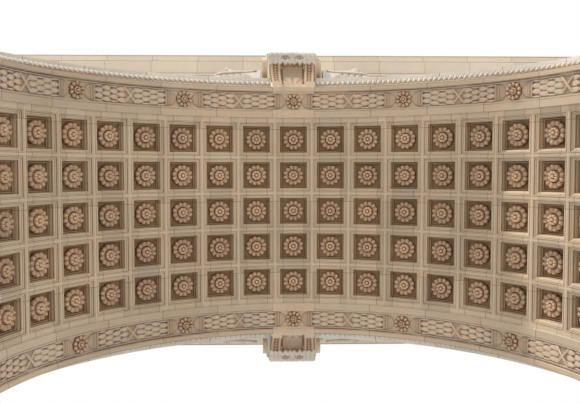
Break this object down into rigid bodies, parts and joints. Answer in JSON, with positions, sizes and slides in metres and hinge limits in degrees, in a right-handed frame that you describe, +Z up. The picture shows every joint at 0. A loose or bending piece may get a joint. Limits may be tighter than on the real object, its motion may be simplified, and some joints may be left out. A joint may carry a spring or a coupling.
{
  "type": "triumphal arch",
  "caption": "Single-span marble triumphal arch with a coffered barrel vault, carved soffit bands, scrolled keystones, wreath and palm reliefs, entablature and attic.",
  "frame": {"origin": "centre of the passage at ground level", "axes": "+Z up, X across the span, -Y towards the front face"},
  "size_m": [19.69, 7.69, 22.8],
  "materials": {
    "marble": "weathered dressed marble",
    "carved_marble": "weathered carved marble"
  },
  "bodies": {
    "root": {"architrave": "marble", "archivolt_back_left": "marble", "archivolt_back_right": "marble", "archivolt_front_left": "marble", "archivolt_front_right": "marble", "attic_cornice": "marble", "attic_foot": "marble", "attic_wall": "marble", "band_rosettes_back": "carved_marble", "band_rosettes_front": "carved_marble", "bed_course": "marble", "blocking_course": "marble", "coffer_stones_crown": "marble", "coffer_stones_left": "marble", "coffer_stones_right": "marble", "cornice": "marble", "crown_wall": "marble", "frieze": "marble", "impost_left": "marble", "impost_right": "marble", "keystone_back": "carved_marble", "keystone_front": "carved_marble", "laurel_bundles_back": "carved_marble", "laurel_bundles_front": "carved_marble", "pedestal_left": "marble", "pedestal_right": "marble", "pier_left": "marble", "pier_right": "marble", "plinth_left": "marble", "plinth_right": "marble", "rib_stones_crown": "marble", "rib_stones_left": "marble", "rib_stones_right": "marble", "rosettes_row_1": "carved_marble", "rosettes_row_2": "carved_marble", "rosettes_row_3": "carved_marble", "rosettes_row_4": "carved_marble", "rosettes_row_5": "carved_marble", "spandrel_relief_back_left": "carved_marble", "spandrel_relief_back_right": "carved_marble", "spandrel_relief_front_left": "carved_marble", "spandrel_relief_front_right": "carved_marble", "spandrel_wall_left": "marble", "spandrel_wall_right": "marble"}
  },
  "joints": []
}
